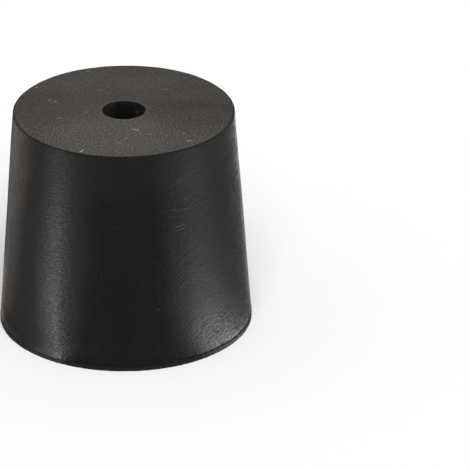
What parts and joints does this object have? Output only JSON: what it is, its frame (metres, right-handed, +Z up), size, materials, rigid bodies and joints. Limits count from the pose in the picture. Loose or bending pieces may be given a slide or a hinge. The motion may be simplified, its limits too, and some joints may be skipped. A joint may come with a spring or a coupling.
{
  "type": "rubber stopper",
  "caption": "Tapered black rubber stopper with a bore along its axis: it plugs the neck of a vessel and grips a tube.",
  "frame": {"origin": "centre of the large end's face, on which the stopper stands", "axes": "+Z up the bore from the large end to the small end; X and Y are alike, because the stopper is a body of revolution"},
  "size_m": [0.045, 0.045, 0.04],
  "materials": {
    "rubber": "black moulded rubber: satin side, matt ground end faces, rough trimmed rim"
  },
  "bodies": {
    "root": {"stopper": "rubber"}
  },
  "joints": []
}
